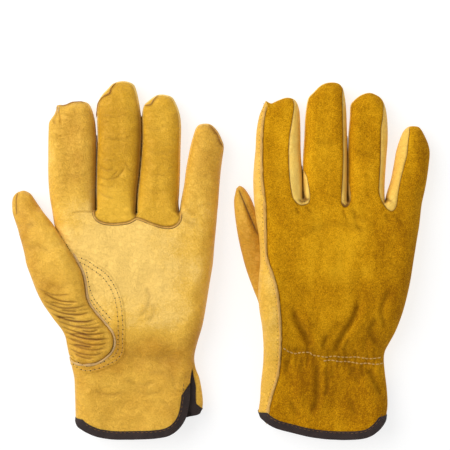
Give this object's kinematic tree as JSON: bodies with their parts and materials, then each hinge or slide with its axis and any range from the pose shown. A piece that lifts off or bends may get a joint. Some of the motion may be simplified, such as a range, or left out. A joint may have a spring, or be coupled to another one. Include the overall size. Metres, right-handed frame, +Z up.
{
  "type": "work gloves",
  "caption": "Slip-on leather work gloves laid palm up beside palm down, with suede backs, fourchette side walls, set-in thumbs, elastic wrists and tape-bound cuffs.",
  "frame": {"origin": "on the surface the gloves lie on, below the middle of the pair's bounding box", "axes": "+X across the pair from the palm-up glove to the palm-down one, +Y from the cuffs to the fingertips, +Z up"},
  "size_m": [0.2964, 0.2572, 0.0399],
  "materials": {
    "palm_leather": "smooth grain leather, soft sheen",
    "finger_leather": "creased grain leather, a little more orange than the palm",
    "suede_back": "split suede, matt nap",
    "fourchette_leather": "pale grain leather",
    "thumb_leather": "wrinkled grain leather",
    "patch_leather": "grain leather, double stitched",
    "binding_tape": "dark brown woven tape",
    "wrist_elastic": "flat woven elastic"
  },
  "bodies": {
    "left_hand": {"left_back": "suede_back", "left_hem_binding": "binding_tape", "left_index_middle_fork": "fourchette_leather", "left_middle_ring_fork": "fourchette_leather", "left_palm": "palm_leather", "left_ring_little_fork": "fourchette_leather", "left_thumb_patch": "patch_leather", "left_thumb_root_back": "thumb_leather", "left_thumb_root_front": "thumb_leather", "left_wrist_elastic": "wrist_elastic"},
    "left_index": {"left_index_back": "suede_back", "left_index_fourchette": "fourchette_leather", "left_index_front": "palm_leather"},
    "left_middle": {"left_middle_back": "suede_back", "left_middle_fourchette_inner": "fourchette_leather", "left_middle_fourchette_outer": "fourchette_leather", "left_middle_front": "finger_leather"},
    "left_ring": {"left_ring_back": "suede_back", "left_ring_fourchette_inner": "fourchette_leather", "left_ring_fourchette_outer": "fourchette_leather", "left_ring_front": "finger_leather"},
    "left_little": {"left_little_back": "suede_back", "left_little_fourchette": "fourchette_leather", "left_little_front": "palm_leather"},
    "left_thumb": {"left_thumb_front": "thumb_leather", "left_thumb_back": "thumb_leather"},
    "right_hand": {"right_back": "suede_back", "right_hem_binding": "binding_tape", "right_index_middle_fork": "fourchette_leather", "right_middle_ring_fork": "fourchette_leather", "right_palm": "palm_leather", "right_ring_little_fork": "fourchette_leather", "right_thumb_patch": "patch_leather", "right_thumb_root_back": "thumb_leather", "right_thumb_root_front": "thumb_leather", "right_wrist_elastic": "wrist_elastic"},
    "right_index": {"right_index_back": "suede_back", "right_index_fourchette": "fourchette_leather", "right_index_front": "palm_leather"},
    "right_middle": {"right_middle_back": "suede_back", "right_middle_fourchette_inner": "fourchette_leather", "right_middle_fourchette_outer": "fourchette_leather", "right_middle_front": "finger_leather"},
    "right_ring": {"right_ring_back": "suede_back", "right_ring_fourchette_inner": "fourchette_leather", "right_ring_fourchette_outer": "fourchette_leather", "right_ring_front": "finger_leather"},
    "right_little": {"right_little_back": "suede_back", "right_little_fourchette": "fourchette_leather", "right_little_front": "palm_leather"},
    "right_thumb": {"right_thumb_front": "thumb_leather", "right_thumb_back": "thumb_leather"}
  },
  "joints": [
    {"name": "right_glove_apart", "type": "slide", "parent": "left_hand", "child": "right_hand", "axis": [1, 0, 0], "range_m": [0, 0.15]},
    {"name": "left_index_flex", "type": "hinge", "parent": "left_hand", "child": "left_index", "pos_m": [-0.10914, 0.0469, 0.0217], "axis": [1, 0, 0], "range_deg": [0, 80], "stiffness_Nm_per_rad": 0.02},
    {"name": "left_middle_flex", "type": "hinge", "parent": "left_hand", "child": "left_middle", "pos_m": [-0.07594, 0.0469, 0.0217], "axis": [1, 0, 0], "range_deg": [0, 80], "stiffness_Nm_per_rad": 0.02},
    {"name": "left_ring_flex", "type": "hinge", "parent": "left_hand", "child": "left_ring", "pos_m": [-0.04654, 0.0469, 0.0217], "axis": [1, 0, 0], "range_deg": [0, 80], "stiffness_Nm_per_rad": 0.02},
    {"name": "left_little_flex", "type": "hinge", "parent": "left_hand", "child": "left_little", "pos_m": [-0.01784, 0.0469, 0.0217], "axis": [1, 0, 0], "range_deg": [0, 80], "stiffness_Nm_per_rad": 0.02},
    {"name": "left_thumb_flex", "type": "hinge", "parent": "left_hand", "child": "left_thumb", "pos_m": [-0.12764, 0.0137, 0.0231], "axis": [0.9104, 0.4137, 0], "range_deg": [0, 60], "stiffness_Nm_per_rad": 0.02},
    {"name": "right_index_flex", "type": "hinge", "parent": "right_hand", "child": "right_index", "pos_m": [0.0396, 0.0469, 0.0088], "axis": [-0.9962, 0, 0.0872], "range_deg": [0, 80], "stiffness_Nm_per_rad": 0.02},
    {"name": "right_middle_flex", "type": "hinge", "parent": "right_hand", "child": "right_middle", "pos_m": [0.0728, 0.0469, 0.00589], "axis": [-0.9962, 0, 0.0872], "range_deg": [0, 80], "stiffness_Nm_per_rad": 0.02},
    {"name": "right_ring_flex", "type": "hinge", "parent": "right_hand", "child": "right_ring", "pos_m": [0.1022, 0.0469, 0.00332], "axis": [-0.9962, 0, 0.0872], "range_deg": [0, 80], "stiffness_Nm_per_rad": 0.02},
    {"name": "right_little_flex", "type": "hinge", "parent": "right_hand", "child": "right_little", "pos_m": [0.1309, 0.0469, 0.00081], "axis": [-0.9962, 0, 0.0872], "range_deg": [0, 80], "stiffness_Nm_per_rad": 0.02},
    {"name": "right_thumb_flex", "type": "hinge", "parent": "right_hand", "child": "right_thumb", "pos_m": [0.0239, 0.01642, 0], "axis": [-0.9512, -0.3087, 0], "range_deg": [0, 60], "stiffness_Nm_per_rad": 0.02}
  ]
}
